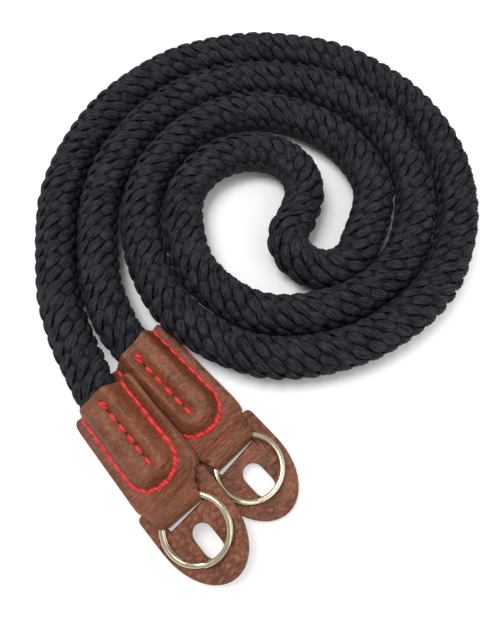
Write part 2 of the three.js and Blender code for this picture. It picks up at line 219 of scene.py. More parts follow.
def swept(name, runs):
    """One mesh from several runs, each an array of rings (stations, sides, xyz) in millimetres."""
    points, faces, along, across, base = [], [], [], [], 0
    for number, rings in enumerate(runs):
        count, sides, _ = rings.shape
        points.append(rings.reshape(-1, 3))
        i, k = np.meshgrid(np.arange(count - 1), np.arange(sides), indexing="ij")
        nxt = (k + 1) % sides
        quads = np.stack([i * sides + k, i * sides + nxt, (i + 1) * sides + nxt, (i + 1) * sides + k], -1)
        faces.extend((quads.reshape(-1, 4) + base).tolist())
        step = np.linalg.norm(np.diff(rings.mean(axis=1), axis=0), axis=1)
        length = np.concatenate([[0], np.cumsum(step)]) + STRAND_SHIFT * number
        u = np.stack([length[i], length[i], length[i + 1], length[i + 1]], -1).reshape(-1)
        v = np.stack([k, k + 1, k + 1, k], -1).reshape(-1) / sides
        first = list(range(base, base + sides))
        last = [corner + (count - 1) * sides for corner in first]
        faces.extend([first[::-1], last])
        along.append(np.concatenate([u, np.zeros(2 * sides)]))
        across.append(np.concatenate([v, np.zeros(2 * sides)]))
        base += count * sides
    mesh = bpy.data.meshes.new(name)
    mesh.from_pydata((np.vstack(points) * MM).tolist(), [], faces)
    layer = mesh.uv_layers.new(name="strand")
    layer.data.foreach_set("uv", np.stack([np.concatenate(along), np.concatenate(across)], -1).ravel())
    mesh.polygons.foreach_set("use_smooth", [len(face) == 4 for face in faces])
    mesh.update()
    piece = bpy.data.objects.new(name, mesh)
    bpy.context.collection.objects.link(piece)
    print(name, len(mesh.vertices), "points,", sum(len(f) - 2 for f in faces), "triangles")
    return piece


# %% [markdown]
# The rope is braided from sixteen strands. Eight thick ones wind to the left and make the slanting floats
# that show; eight thin ones wind to the right and bind them down where they cross, so they show only as
# short bits in the hollows. It could be a bump on a tube, but then the edge of the rope would be straight,
# so the strands are made: each follows a helix, and passes over one strand that crosses it and under the
# next.

# %% The braid
STRANDS = 8
LAY = 29.0
CROSSING = LAY / (2 * STRANDS)
FLOATS = {"hand": 1, "middle": 4.62, "dip": -0.52, "reach": 0.36, "narrow": 0.3, "stations": 4.4}
BINDERS = {"hand": -1, "middle": 3.9, "dip": 0.42, "reach": 0.5, "narrow": -0.1, "stations": 3.5}
FLOAT_SECTION = np.array([  # across, out: a full band of fine yarns
    (-1.3, -0.1), (0, -0.5), (1.3, -0.1), (1.14, 0.2), (0.76, 0.27), (0.42, 0.5), (0, 0.38), (-0.42, 0.5),
    (-0.76, 0.27), (-1.14, 0.2),
])
BINDER_SECTION = np.array([(-0.56, -0.1), (0, -0.35), (0.56, -0.1), (0.42, 0.24), (0, 0.34), (-0.42, 0.24)])
FLOOR_LEVEL = 0.0
SLACK = ((0.08, 0.37, 2.1), (0.07, 1.13, 4.7))  # amount, pace along the rope, shift between strands
SPREAD = (0.1, 0.91, 1.7)


def sway(s, number, amount, pace, shift, start=0):
    """A slow wave along a strand, different for each strand."""
    return amount * np.sin(s * pace + shift * number + start)


def strand(number, kind, section):
    hand = kind["hand"]
    s = np.arange(ROPE_FROM, ROPE_TO, CROSSING / kind["stations"])
    centre, left, up, wide, high = rope_frame(s)
    turn = 2 * np.pi * (hand * s / LAY + number / STRANDS)
    passed = (s / CROSSING) % 2 - 1
    bound = np.exp(-((passed / kind["reach"]) ** 2))
    loose = sway(s, number, *SLACK[0], hand) + sway(s, number, *SLACK[1])
    radius = kind["middle"] + kind["dip"] * bound + loose
    x, y = np.cos(turn)[:, None] * left, np.sin(turn)[:, None] * up
    middle = centre + radius[:, None] * (wide[:, None] * x + high[:, None] * y)
    out = x / wide[:, None] + y / high[:, None]
    out /= np.linalg.norm(out, axis=1, keepdims=True)
    side = np.cross(np.gradient(middle, axis=0), out)
    side /= np.linalg.norm(side, axis=1, keepdims=True)
    broad = 1 - kind["narrow"] * bound + sway(s, number, *SPREAD, hand)
    across = section[None, :, :1] * broad[:, None, None]
    rings = middle[:, None] - across * side[:, None] + section[None, :, 1:] * out[:, None]
    rings[..., 2] = np.maximum(rings[..., 2], FLOOR_LEVEL)
    return rings


half = STRANDS // 2
floats_a = swept("rope_floats_a", [strand(n, FLOATS, FLOAT_SECTION) for n in range(half)])
floats_b = swept("rope_floats_b", [strand(n, FLOATS, FLOAT_SECTION) for n in range(half, STRANDS)])
binders = swept("rope_binders", [strand(n, BINDERS, BINDER_SECTION) for n in range(STRANDS)])
braid = [floats_a, floats_b, binders]

# %% [markdown]
# Under the strands lies the rope's core, which runs the rope's whole length.

# %% The core
CORE_RADIUS, CORE_SIDES, CORE_STEP = 4.0, 16, 3.0


def core():
    s = np.arange(ROPE_FROM, ROPE_TO, CORE_STEP)
    centre, left, up, wide, high = rope_frame(s)
    turn = np.linspace(0, 2 * np.pi, CORE_SIDES, endpoint=False) - np.pi / 2
    x = np.cos(turn)[None, :, None] * (left * wide[:, None])[:, None]
    y = np.sin(turn)[None, :, None] * (up * high[:, None])[:, None]
    return centre, centre[:, None] + CORE_RADIUS * (x + y)


core_path, core_rings = core()
rope_core = swept("rope_core", [core_rings])
rope_exit = end_matrix(ENDS[0]) @ Vector((MOUTH_AT * ENDS[0]["stretch"], 0, MOUTH_LEVEL))
for piece in (rope_core, *braid):
    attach(piece, "root")
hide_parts("rope")
tuple(rope_exit * MM)
[tuple(p * MM) for p in core_path]
print("rope exit", [round(v, 2) for v in rope_exit])

# %% [markdown]
# Each leather end is one strip of leather: it starts at the mouth, covers the flattened rope, narrows to a
# tongue, folds down round the ring and comes back underneath. It could be carved from a block, but a strip
# that is bent to shape and given its thickness afterwards shows the two sewn layers at its edge, as the
# real one does. A grid is added, each of its points is moved to its place, and Solidify makes the wall.

# %% Height of the leather
SLAB = 2.4
OUTLINE = np.array([  # along, half width
    (-1.6, 7.6), (-1.2, 8.2), (-0.4, 8.65), (1.2, 8.8), (22.0, 8.8), (24.0, 8.45), (26.0, 7.6), (28.0, 6.5),
    (29.4, 6.1), (30.6, 5.9), (31.7, 5.8),
])
PAD = np.array([  # along, ridge, valley
    (-1.6, 8.2, 7.8), (0, 7.7, 6.9), (2, 7.3, 5.6), (6, 6.9, 4.8), (12, 6.5, 4.5), (16.5, 6.1, 4.3),
    (40, 6.1, 4.3),
])
U_HALF, U_STRAIGHT = 6.2, 17.5
PAD_FLANK, VALLEY_FLANK, VALLEY_END = 3.1, 2.7, 18.2
NECK_TOP, NECK_RISE, NECK_CREST, NECK_FALL = 6.6, (21.5, 30.5), 4.6, 0.8
FLANGE_ROOT, ROLL_AT, ROLL_DEPTH, ROLL_HALF = 5.4, 26.4, 0.3, 0.8
LIFT_FADES, SKEW_FADES, PUFF_FADES, CREASE_RISES = (0, 22), (0, 14), (18, 24), (-1.6, 3)
SEAM_HALF, SEAM_SPAN = 2, (-0.1, 1)
PAD_SHOULDER, PAD_FOOT, GROOVE_FLARE = 1.9, 1.2, 2.0
PUFF_FROM, PUFF_WIDTH, PUFF_HEIGHT = 6.4, 2.4, 0.25
CREASE_DEPTH = 0.08


def half_width(u):
    return np.interp(u, OUTLINE[:, 0], OUTLINE[:, 1])


def lifted(u, v, end):
    """How far the flange that lies on the other end is turned up."""
    outward = np.clip((v - FLANGE_ROOT) / (SLEEVE_EDGE - FLANGE_ROOT), 0, 1)
    return end["lift"] * (1 - ease(u, *LIFT_FADES)) * outward


def along_end(u, v, end):
    """The mouth is cut a little askew, so its far corner reaches further back."""
    return u * end["stretch"] - end["skew"] * np.clip(v / SLEEVE_EDGE, 0, 1) * (1 - ease(u, *SKEW_FADES))


def seam_across(u, end):
    """The middle seam is sewn by eye, so it wanders a little off the centre."""
    first, last = end["seam"]
    return first + (last - first) * np.clip(u / VALLEY_END, *SEAM_SPAN)


def crumpled(u, v):
    """Shallow creases across the pad: waves of a few millimetres that wander and come and go."""
    wander = 1.3 * np.sin(0.9 * v + 0.4 * u) + 0.25 * v * v
    return np.sin(3.3 * u + wander) * np.sin(0.8 * u + 2 + 0.5 * v)


def front_height(u, v, end):
    """Outer height of the front leather at a place along and across the end."""
    u, v = np.broadcast_arrays(np.asarray(u, float), np.asarray(v, float))
    top, valley = (np.interp(u, PAD[:, 0], PAD[:, k]) for k in (1, 2))
    off = v - seam_across(u, end)
    left, right = end["ridges"]
    top = top * (left + (right - left) * ease(off, -SEAM_HALF, SEAM_HALF))
    inside = U_HALF - np.hypot(np.clip(u - U_STRAIGHT, 0, None), v)
    flank = np.clip(inside / PAD_FLANK, 0, 1)
    swell = (1 - (1 - flank) ** PAD_SHOULDER) ** PAD_FOOT
    beside = np.hypot(np.clip(u - VALLEY_END, 0, None), off)
    groove = (1 - np.clip(beside / VALLEY_FLANK, 0, 1)) ** GROOVE_FLARE
    pad = SLAB + (top - SLAB - np.clip(top - valley, 0, None) * groove) * swell
    over_flange = np.clip((np.abs(v) - PUFF_FROM) / PUFF_WIDTH, 0, 1)
    puff = PUFF_HEIGHT * np.sin(np.pi * over_flange) * (1 - ease(u, *PUFF_FADES))
    neck = SLAB + (NECK_TOP - SLAB) * ease(u, *NECK_RISE)
    eave = NECK_TOP - NECK_FALL * np.clip(np.abs(v) - NECK_CREST, 0, None)
    neck = np.minimum(neck, eave)
    roll = ROLL_DEPTH * np.exp(-(((u - ROLL_AT) / ROLL_HALF) ** 2))
    crease = CREASE_DEPTH * swell * ease(u, *CREASE_RISES) * crumpled(u, v)
    return np.maximum(pad, neck) + puff + crease - roll + lifted(u, v, end)


print("ridge height half way:", np.round(front_height(10, 3, ENDS[1]), 2))

# %% [markdown]
# The strip is followed from the mouth over the front, down round the fold and back underneath. Each station
# on that way says how far along the end it lies and how high, and a row of the grid's points goes there.
# In the fold the strip is tucked in a little, because leather draws in where it is bent.

# %% Stations along the strip
FRONT_STEPS, WALL_STEPS, BACK_STEPS, ROUND_STEPS, ACROSS_STEPS = 84, 5, 20, 8, 56
FOLD_AT, FOLD_ROUND, FOOT_ROUND, TUCK = 31.7, 2.6, 1.2, 0.7


def strip_stations():
    """(kind, along, height) of each station, from the mouth over the fold and back under."""
    stations = [("front", u, 0) for u in np.linspace(MOUTH_AT, FOLD_AT - FOLD_ROUND, FRONT_STEPS)]
    for angle in np.linspace(90, 0, ROUND_STEPS + 1)[1:]:
        a = math.radians(angle)
        inward, down = FOLD_ROUND * (1 - math.cos(a)), FOLD_ROUND * (1 - math.sin(a))
        stations.append(("fold", FOLD_AT - inward, NECK_TOP - down))
    for w in np.linspace(NECK_TOP - FOLD_ROUND, FOOT_ROUND, WALL_STEPS)[1:]:
        stations.append(("fold", FOLD_AT, w))
    for angle in np.linspace(0, -90, ROUND_STEPS + 1)[1:]:
        a = math.radians(angle)
        stations.append(("fold", FOLD_AT - FOOT_ROUND * (1 - math.cos(a)), FOOT_ROUND * (1 + math.sin(a))))
    stations += [("back", u, 0) for u in np.linspace(FOLD_AT - FOOT_ROUND, MOUTH_AT, BACK_STEPS)[1:]]
    return stations


def leather_strip(end):
    stations = strip_stations()
    bpy.ops.object.select_all(action="DESELECT")
    bpy.ops.mesh.primitive_grid_add(x_subdivisions=len(stations) - 1, y_subdivisions=ACROSS_STEPS, size=2)
    strip = bpy.context.object
    strip.name = strip.data.name = f"leather_sleeve_{end['name']}"
    flat = np.array([v.co[:2] for v in strip.data.vertices])
    row = np.rint((flat[:, 0] + 1) / 2 * (len(stations) - 1)).astype(int)
    placed = np.zeros((len(flat), 3))
    for i, (kind, u, w) in enumerate(stations):
        here = row == i
        tuck = TUCK * (1 - w / NECK_TOP) if kind == "fold" else 0
        v = flat[here, 1] * (half_width(u) - tuck)
        if kind == "front":
            height = front_height(u, v, end)
        else:
            height = w + lifted(u, v, end) if kind == "back" else w
        placed[here] = np.stack([along_end(u, v, end), v, np.broadcast_to(height, v.shape)], 1)
    strip.data.vertices.foreach_set("co", (placed * MM).ravel())
    strip.data.update()
    return strip


# %% [markdown]
# Three small tools do what comes next: a modifier gives the strip its thickness, the cut rim is rounded,
# and the finished piece is laid in its place in the strap.


# %% Thickness, rim and place
def use(piece):
    bpy.ops.object.select_all(action="DESELECT")
    piece.select_set(True)
    bpy.context.view_layer.objects.active = piece


def modified(piece, kind, **settings):
    use(piece)
    modifier = piece.modifiers.new(kind.title(), kind)
    for key, value in settings.items():
        setattr(modifier, key, value)
    bpy.ops.object.modifier_apply(modifier=modifier.name)


def round_rim(piece, width):
    """Round the two edges of the cut rim, whose faces carry the second finish."""
    use(piece)
    bpy.ops.object.mode_set(mode="EDIT")
    bpy.ops.mesh.select_mode(type="FACE")
    bpy.ops.mesh.select_all(action="DESELECT")
    bpy.ops.object.mode_set(mode="OBJECT")
    for face in piece.data.polygons:
        face.select = face.material_index == 1
    bpy.ops.object.mode_set(mode="EDIT")
    bpy.ops.mesh.region_to_loop()
    bpy.ops.mesh.bevel(offset=width, segments=2, clamp_overlap=False)
    bpy.ops.object.mode_set(mode="OBJECT")


def settle(piece, matrix):
    """Put a piece that was made in millimetres of an end into the strap, with its place in its mesh."""
    place = matrix.copy()
    place.translation *= MM
    piece.matrix_world = place
    use(piece)
    bpy.ops.object.transform_apply(location=True, rotation=True, scale=True)


# %% [markdown]
# Both sleeves are made the same way, each from its own end's measures. Solidify gives the faces of the rim
# the second place for a finish, so that the cut edge can look different from the grain side.

# %% Leather sleeves
LEATHER, RIM_ROUND, SMOOTH_BELOW = 1.12, 0.16, math.radians(40)
sleeves = []
for end in ENDS:
    sleeve = leather_strip(end)
    sleeve.data.materials.append(None)  # for the faces
    sleeve.data.materials.append(None)  # for the cut rim
    modified(sleeve, "SOLIDIFY", thickness=LEATHER * MM, offset=-1, material_offset_rim=1)
    round_rim(sleeve, RIM_ROUND * MM)
    bpy.ops.object.shade_smooth_by_angle(angle=SMOOTH_BELOW)
    settle(sleeve, end["matrix"])
    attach(sleeve, "root")
    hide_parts(f"sleeve_{end['name']}")
    sleeves.append(sleeve)
    print(sleeve.name, len(sleeve.data.polygons), "faces")

# %% [markdown]
# A ring guard is a plain tab of thicker leather. Its outline and slot are right in the solid already, so a
# copy of that node is merged into one mesh and its flat faces are cleared of triangle edges. The tongue
# pulls the slit into a thin wedge, so the corners of its far side are drawn in. A bevel rounds the cut
# edges the way a maker rubs them down.

# %% Ring guards
SLIT_FAR, SLIT_NEAR, SLIT_HALF, SLIT_DRAWN, SLIT_SKEW = 33.1, 0.6, 5.6, 0.85, 0.08
GUARD_PITCH, GUARD_WELD, FLAT_WITHIN = 5, 0.01, math.radians(2)
EDGE_ROUND, SHARP_ABOVE = 0.32, math.radians(50)


def guard_matrix(end):
    pivot = Matrix.Translation((end["stretch"] * GUARD_PIVOT[0], 0, GUARD_PIVOT[1]))
    return end["matrix"] @ pivot @ Matrix.Rotation(math.radians(GUARD_PITCH), 4, "Y")


guards = []
for end in ENDS:
    node = f"ring_guard_{end['name']}"
    use(bpy.data.objects[node])
    bpy.ops.object.duplicate(linked=False)
    guard = bpy.context.object
    guard.name = guard.data.name = f"leather_guard_{end['name']}"
    bpy.ops.object.mode_set(mode="EDIT")
    bpy.ops.mesh.select_all(action="SELECT")
    bpy.ops.mesh.remove_doubles(threshold=GUARD_WELD * MM)
    bpy.ops.mesh.dissolve_limited(angle_limit=FLAT_WITHIN)
    bpy.ops.object.mode_set(mode="OBJECT")
    to_guard = guard_matrix(end).inverted()
    drawn = 0
    for corner in guard.data.vertices:
        at = to_guard @ (corner.co / MM)
        if abs(at.x + GUARD_PIVOT[0] - SLIT_FAR) < SLIT_NEAR and abs(at.y) < SLIT_HALF:
            at.x -= SLIT_DRAWN + SLIT_SKEW * at.y
            corner.co = guard_matrix(end) @ at * MM
            drawn += 1
    print("slit corners drawn in:", drawn)
    modified(
        guard, "BEVEL", width=EDGE_ROUND * MM, segments=3, limit_method="ANGLE",
        angle_limit=SHARP_ABOVE, use_clamp_overlap=False,
    )
    bpy.ops.object.shade_smooth_by_angle(angle=SMOOTH_BELOW)
    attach(guard, "root")
    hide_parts(node)
    guards.append(guard)
    print(guard.name, len(guard.data.polygons), "faces")

# %% [markdown]
# A split ring is a flat wire wound twice round, with a step where it climbs from the first turn to the
# second. It is modelled as it is wound: a small wire section is spun through the first turn, lifted in a
# few short extrusions and spun through the second.

# %% Split rings
RING_OUTER, WIRE_WIDTH, WIRE_HEIGHT, WIRE_GAP = 7.8, 1.15, 0.8, 0.08
RING_STEP, STEP_HALF = 275, 20
GUARD_THICK, CLEARANCE = 1.4, 0.3
TURN_STEPS, CLIMB_STEPS, RING_WELD = 80, 10, 0.001
WIRE_SIDES, WIRE_DISC, WIRE_FULLNESS = 16, 0.5, 2.2


def split_ring(name):
    radius = (RING_OUTER - WIRE_WIDTH / 2) * MM
    rise = (WIRE_HEIGHT + WIRE_GAP) * MM
    turn = 360 - 2 * STEP_HALF
    bpy.ops.object.select_all(action="DESELECT")
    bpy.ops.mesh.primitive_circle_add(
        vertices=WIRE_SIDES, radius=WIRE_DISC * MM, fill_type="NGON",
        location=(radius, 0, -rise / 2), rotation=(math.pi / 2, 0, 0),
    )
    ring = bpy.context.object
    ring.name = ring.data.name = name
    bpy.ops.object.transform_apply(location=True, rotation=True, scale=True)
    for corner in ring.data.vertices:
        x = (corner.co.x - radius) / (WIRE_DISC * MM)
        z = (corner.co.z + rise / 2) / (WIRE_DISC * MM)
        fuller = (abs(x) ** WIRE_FULLNESS + abs(z) ** WIRE_FULLNESS) ** (-1 / WIRE_FULLNESS)
        corner.co.x = radius + x * fuller * WIRE_WIDTH / 2 * MM
        corner.co.z = -rise / 2 + z * fuller * WIRE_HEIGHT / 2 * MM
    bpy.ops.object.mode_set(mode="EDIT")
    bpy.ops.mesh.select_all(action="SELECT")
    around_ring = {"center": (0, 0, 0), "axis": (0, 0, 1)}
    bpy.ops.mesh.spin(steps=TURN_STEPS, angle=math.radians(turn), **around_ring)
    for step in range(CLIMB_STEPS):
        share = ease(np.array([step, step + 1.0]), 0, CLIMB_STEPS)
        bpy.ops.mesh.spin(steps=1, angle=math.radians(2 * STEP_HALF / CLIMB_STEPS), **around_ring)
        bpy.ops.transform.translate(value=(0, 0, rise * (share[1] - share[0])))
    bpy.ops.mesh.spin(steps=TURN_STEPS, angle=math.radians(turn), **around_ring)
    bpy.ops.mesh.select_all(action="SELECT")
    bpy.ops.mesh.remove_doubles(threshold=RING_WELD * MM)
    bpy.ops.mesh.normals_make_consistent(inside=False)
    bpy.ops.object.mode_set(mode="OBJECT")
    bpy.ops.object.shade_smooth_by_angle(angle=SHARP_ABOVE)
    return ring


rings = []
for end in ENDS:
    ring = split_ring(f"wire_ring_{end['name']}")
    level = GUARD_THICK + CLEARANCE + WIRE_HEIGHT + WIRE_GAP / 2
    place = (
        guard_matrix(end)
        @ Matrix.Translation((RING_AT - GUARD_PIVOT[0], 0, level))
        @ Matrix.Rotation(math.radians(RING_STEP + STEP_HALF), 4, "Z")
    )
    settle(ring, place)
    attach(ring, "root")
    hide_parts(f"split_ring_{end['name']}")
    rings.append(ring)
    print(ring.name, len(ring.data.polygons), "faces", [round(v / MM, 1) for v in ring.dimensions])

# %% [markdown]
# The red thread is sewn in a U round the rope's end and in a row of dashes down its middle. One stitch is
# modelled from a ball that is drawn out, with its two ends pulled down into their holes, and is copied
# along the seam. A seam sewn by hand is never quite even, so each stitch leans a little. Between the dashes
# the needle holes are painted shade: small flat dark copies of the same shape, with no hole cut.

# %% One stitch
STITCH_BLUNT, STITCH_DIVE, STITCH_BEND, STITCH_TIP = 3, 0.42, 2.5, 0.999


def stitch_shape():
    bpy.ops.object.select_all(action="DESELECT")
    bpy.ops.mesh.primitive_uv_sphere_add(segments=10, ring_count=12, radius=0.5, rotation=(0, math.pi / 2, 0))
    ball = bpy.context.object
    bpy.ops.object.transform_apply(location=True, rotation=True, scale=True)
    for corner in ball.data.vertices:
        x = 2 * corner.co.x
        fuller = math.sqrt((1 - abs(x) ** STITCH_BLUNT) / (1 - x * x)) if abs(x) < STITCH_TIP else 1
        corner.co.y *= fuller
        corner.co.z = corner.co.z * fuller - STITCH_DIVE * abs(x) ** STITCH_BEND
    return ball


# %% [markdown]
# The U runs down one side of the rope's end, round it and back up the other. The dashes follow the middle
# seam and start with a knot, and one end has a back tack beside the U.

# %% Where the stitches lie
U_START, BEND_POINTS, SEAM_PROBE = -1.5, 41, 0.3
STITCH_PITCH, STITCH_LENGTH = 2.8, 3.2
DASH_START, DASH_PITCH, DASH_LENGTH, DASHES, DASH_LEAN = 1.4, 3.24, 2.8, 6, 0.04
KNOT_LEAN, KNOT_SHARE, KNOT_SHIFT = 0.7, 0.8, (-0.5, 0.35)
TACK_LEAN, HOLE_LENGTH = 0.5, 1.5


def u_seam():
    turn = np.radians(np.linspace(90, -90, BEND_POINTS))
    bend = np.stack([U_STRAIGHT + U_HALF * np.cos(turn), U_HALF * np.sin(turn)], 1)
    line = np.vstack([[(U_START, U_HALF)], bend, [(U_START, -U_HALF)]])
    run = np.concatenate([[0], np.cumsum(np.linalg.norm(np.diff(line, axis=0), axis=1))])
    count = round(run[-1] / STITCH_PITCH)
    s = (np.arange(count) + 0.5) * run[-1] / count

    def at(travelled):
        return np.stack([np.interp(travelled, run, line[:, k]) for k in (0, 1)], 1)

    ahead = at(s + SEAM_PROBE) - at(s - SEAM_PROBE)
    return [(p, math.atan2(d[1], d[0]), STITCH_LENGTH) for p, d in zip(at(s), ahead)]


def dashes(end):
    along = [DASH_START + DASH_PITCH * k for k in range(DASHES)]
    row = [(np.array([u, seam_across(u, end)]), DASH_LEAN, DASH_LENGTH) for u in along]
    knot = np.array([DASH_START, seam_across(0, end)]) + KNOT_SHIFT
    tacks = [(np.array(at), TACK_LEAN, STITCH_LENGTH) for at in end["tack"]]
    return [*row, (knot, KNOT_LEAN, KNOT_SHARE * DASH_LENGTH), *tacks]


# No needle holes are cut: these are flat dark patches between the dashes, painted shade.
def needle_hole_shade_patches(end):
    along = [DASH_START + DASH_PITCH * (k + 0.5) for k in range(DASHES - 1)]
    return [(np.array([u, seam_across(u, end)]), DASH_LEAN, HOLE_LENGTH) for u in along]


# %% [markdown]
# Each copy is turned to lie along its seam and flat on the leather, and sits partly in it. The copies of one
# end are joined into one piece of thread and one piece of painted hole shade.

# %% Sewing
STITCH_WIDTH, STITCH_HEIGHT, HOLE_WIDTH, HOLE_HEIGHT = 1.2, 0.9, 0.6, 0.3
SEWN_LEAN, LEAN_PACE, SEWN_SWELL, SWELL_PACE, SEATED = 0.12, 2.4, 0.08, 5.1, 0.18
SLOPE_PROBE, STEEPEST = 0.2, 0.6


def out_of_leather(u, v, end):
    """The way straight out of the front leather, held back where it is steep across."""
    h = SLOPE_PROBE
    slope_u = float(front_height(u + h, v, end) - front_height(u - h, v, end)) / (2 * h)
    slope_v = float(front_height(u, v + h, end) - front_height(u, v - h, end)) / (2 * h)
    slope_v = max(-STEEPEST, min(STEEPEST, slope_v))
    return Vector((-slope_u, -slope_v, 1)).normalized()


def sewn(name, end, places, width, height):
    copies = []
    for number, (at, bearing, length) in enumerate(places):
        normal = out_of_leather(*at, end)
        lean = bearing + SEWN_LEAN * math.sin(LEAN_PACE * number)
        ahead = Vector((math.cos(lean), math.sin(lean), 0))
        ahead = (ahead - normal * ahead.dot(normal)).normalized()
        side = normal.cross(ahead)
        turn = Matrix((ahead, side, normal)).transposed().to_4x4()
        swell = 1 + SEWN_SWELL * math.sin(SWELL_PACE * number)
        size = Matrix.Diagonal((length, width * swell, height, 1))
        on_leather = Vector((along_end(*at, end), at[1], float(front_height(*at, end))))
        place = Matrix.Translation(on_leather + normal * SEATED * height)
        copy = shape.copy()
        copy.data = shape.data.copy()
        copy.data.transform(Matrix.Scale(MM, 4) @ end["matrix"] @ place @ turn @ size)
        bpy.context.collection.objects.link(copy)
        copies.append(copy)
    bpy.ops.object.select_all(action="DESELECT")
    for copy in copies:
        copy.select_set(True)
    bpy.context.view_layer.objects.active = copies[0]
    bpy.ops.object.join()
    seam = bpy.context.object
    seam.name = seam.data.name = name
    bpy.ops.object.shade_smooth()
    return seam


shape = stitch_shape()
seams, shade_patches = [], []
for end in ENDS:
    thread_at = u_seam() + dashes(end)
    seams.append(sewn(f"red_stitches_{end['name']}", end, thread_at, STITCH_WIDTH, STITCH_HEIGHT))
    shade_patches.append(sewn(f"needle_hole_shade_patches_{end['name']}", end, needle_hole_shade_patches(end), HOLE_WIDTH, HOLE_HEIGHT))
for piece in seams + shade_patches:
    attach(piece, "root")
    print(piece.name, len(piece.data.polygons), "faces")
bpy.data.objects.remove(shape)

# %% [markdown]
# Materials are built from nodes. To keep their sums readable, a socket is wrapped in a small class whose
# operators add Math nodes, and one method adds any other node from its type, settings and inputs.


# %% A small language for finishes
class Amount:
    def __init__(self, finish, socket):
        self.finish = finish
        self.socket = socket

    def math(self, operation, first, second):
        return self.finish.node("ShaderNodeMath", {"operation": operation}, {0: first, 1: second})

    def __add__(self, other):
        return self.math("ADD", self, other)

    def __rsub__(self, other):
        return self.math("SUBTRACT", other, self)

    def __mul__(self, other):
        return self.math("MULTIPLY", self, other)

    __radd__ = __add__


class Finish:
    def __init__(self, name, **fixed):
        self.material = bpy.data.materials.new(name)
        self.material.use_nodes = True
        self.tree = self.material.node_tree
        self.shader = self.tree.nodes["Principled BSDF"]
        self.surface(**fixed)

    def feed(self, socket, value):
        if isinstance(value, Amount):
            self.tree.links.new(value.socket, socket)
        else:
            socket.default_value = value

    def node(self, kind, settings=None, sockets=None, out=0):
        made = self.tree.nodes.new(kind)
        for key, value in (settings or {}).items():
            if key == "stops":
                ramp = made.color_ramp.elements
                while len(ramp) < len(value):
                    ramp.new(0.5)
                for stop, (at, level) in zip(ramp, value):
                    stop.position = at
                    stop.color = (level, level, level, 1)
            else:
                setattr(made, key, value)
        for key, value in (sockets or {}).items():
            self.feed(made.inputs[key], value)
        return Amount(self, made.outputs[out])

    def blend(self, share, first, second):
        return self.node("ShaderNodeMix", {"data_type": "RGBA"}, {0: share, 6: first, 7: second}, out=2)

    def place(self):
        """Object coordinates."""
        return self.node("ShaderNodeTexCoord", out=3)

    def noise(self, vector, scale, detail=3, rough=0.55):
        return self.node("ShaderNodeTexNoise", None,
                         {"Vector": vector, "Scale": scale, "Detail": detail, "Roughness": rough})

    def ramp(self, amount, *stops):
        return self.node("ShaderNodeValToRGB", {"stops": stops}, {"Fac": amount})

    def bump(self, height, strength, distance):
        sockets = {"Height": height, "Strength": strength, "Distance": distance * MM}
        return self.node("ShaderNodeBump", None, sockets)

    def surface(self, **inputs):
        for name, value in inputs.items():
            self.feed(self.shader.inputs[name.replace("_", " ")], value)


def paint(red, green, blue):
    """A colour as seen on a screen, 0 to 255, as the light it stands for."""
    seen = [level / 255 for level in (red, green, blue)]
    light = [((c + 0.055) / 1.055) ** 2.4 if c > 0.04 else c / 12.92 for c in seen]
    return (*light, 1)


def dress(piece, *finishes):
    piece.data.materials.clear()
    for finish in finishes:
        piece.data.materials.append(finish.material)


# %% [markdown]
# The rope's yarn is matt black polyester that looks like cool charcoal in the light. The fibres run along
# each strand, so the streaks read the strand's own UV map: long along it and fine across it. The binders
# lie in hollows that little light reaches, so their yarn is painted darker as painted shade, and the core's
# is painted darkest, as the painted shade of the gaps between the strands.

# %% Rope yarn
FIBRE_SCALE = (0.4, 9, 1)


def fibres_along(finish, **noise):
    strand_map = finish.node("ShaderNodeUVMap", {"uv_map": "strand"})
    way = finish.node("ShaderNodeMapping", None, {"Vector": strand_map, "Scale": FIBRE_SCALE})
    return finish.noise(way, 1.0, **noise)


yarn = Finish("rope_yarn", Roughness=0.75, Specular_IOR_Level=0.22)
fibres = fibres_along(yarn, detail=4, rough=0.6)
patches = yarn.noise(yarn.place(), 260, detail=2)
flecks = yarn.ramp(yarn.noise(yarn.place(), 1500, detail=1), (0.6, 0.0), (0.74, 1.0))
shade = yarn.ramp(fibres * 0.8 + patches * 0.2, (0.4, 0.0), (0.6, 1.0)) + flecks * 0.65
yarn.surface(
    Base_Color=yarn.blend(shade, paint(0, 2, 14), paint(50, 52, 57)),
    Normal=yarn.bump(fibres, 1.0, 0.45),
)
# Painted shade: the binders' yarn is painted darker than the floats' for the hollows they lie in.
shaded_binder_yarn = Finish("rope_binder_yarn_painted_shade", Roughness=0.85, Specular_IOR_Level=0.2)
deep_fibres = fibres_along(shaded_binder_yarn)
shaded_binder_yarn.surface(
    Base_Color=shaded_binder_yarn.blend(deep_fibres, paint(0, 2, 14), paint(24, 26, 34)),
    Normal=shaded_binder_yarn.bump(deep_fibres, 0.8, 0.3),
)
# Painted shade: the core's yarn is painted darkest of all, for the gaps between strands where it shows.
shaded_core_yarn = Finish("rope_core_yarn_painted_shade", Roughness=0.9, Specular_IOR_Level=0.2)
dark_noise = shaded_core_yarn.noise(shaded_core_yarn.place(), 700)
shaded_core_yarn.surface(Base_Color=shaded_core_yarn.blend(dark_noise, paint(2, 4, 12), paint(9, 11, 20)))
for piece in (floats_a, floats_b):
    dress(piece, yarn)
dress(binders, shaded_binder_yarn)
dress(rope_core, shaded_core_yarn)
print("rope yarn:", len(yarn.tree.nodes), "nodes")

# %% [markdown]
# The leather is mid brown with a pebbled grain. Small rounded cells make the pebbles, noise stretched across
# the end makes fine wrinkles, and broad soft noise makes the paler and darker places. The pebbles and
# wrinkles also paint their own light and shade into the colour: paler where they rise and darker in the
# creases, as painted highlight and shade. The sleeves' raw cut edges have a paler, matt finish of their own,
# partly their raw colour and partly a painted highlight of the light that catches the rim.

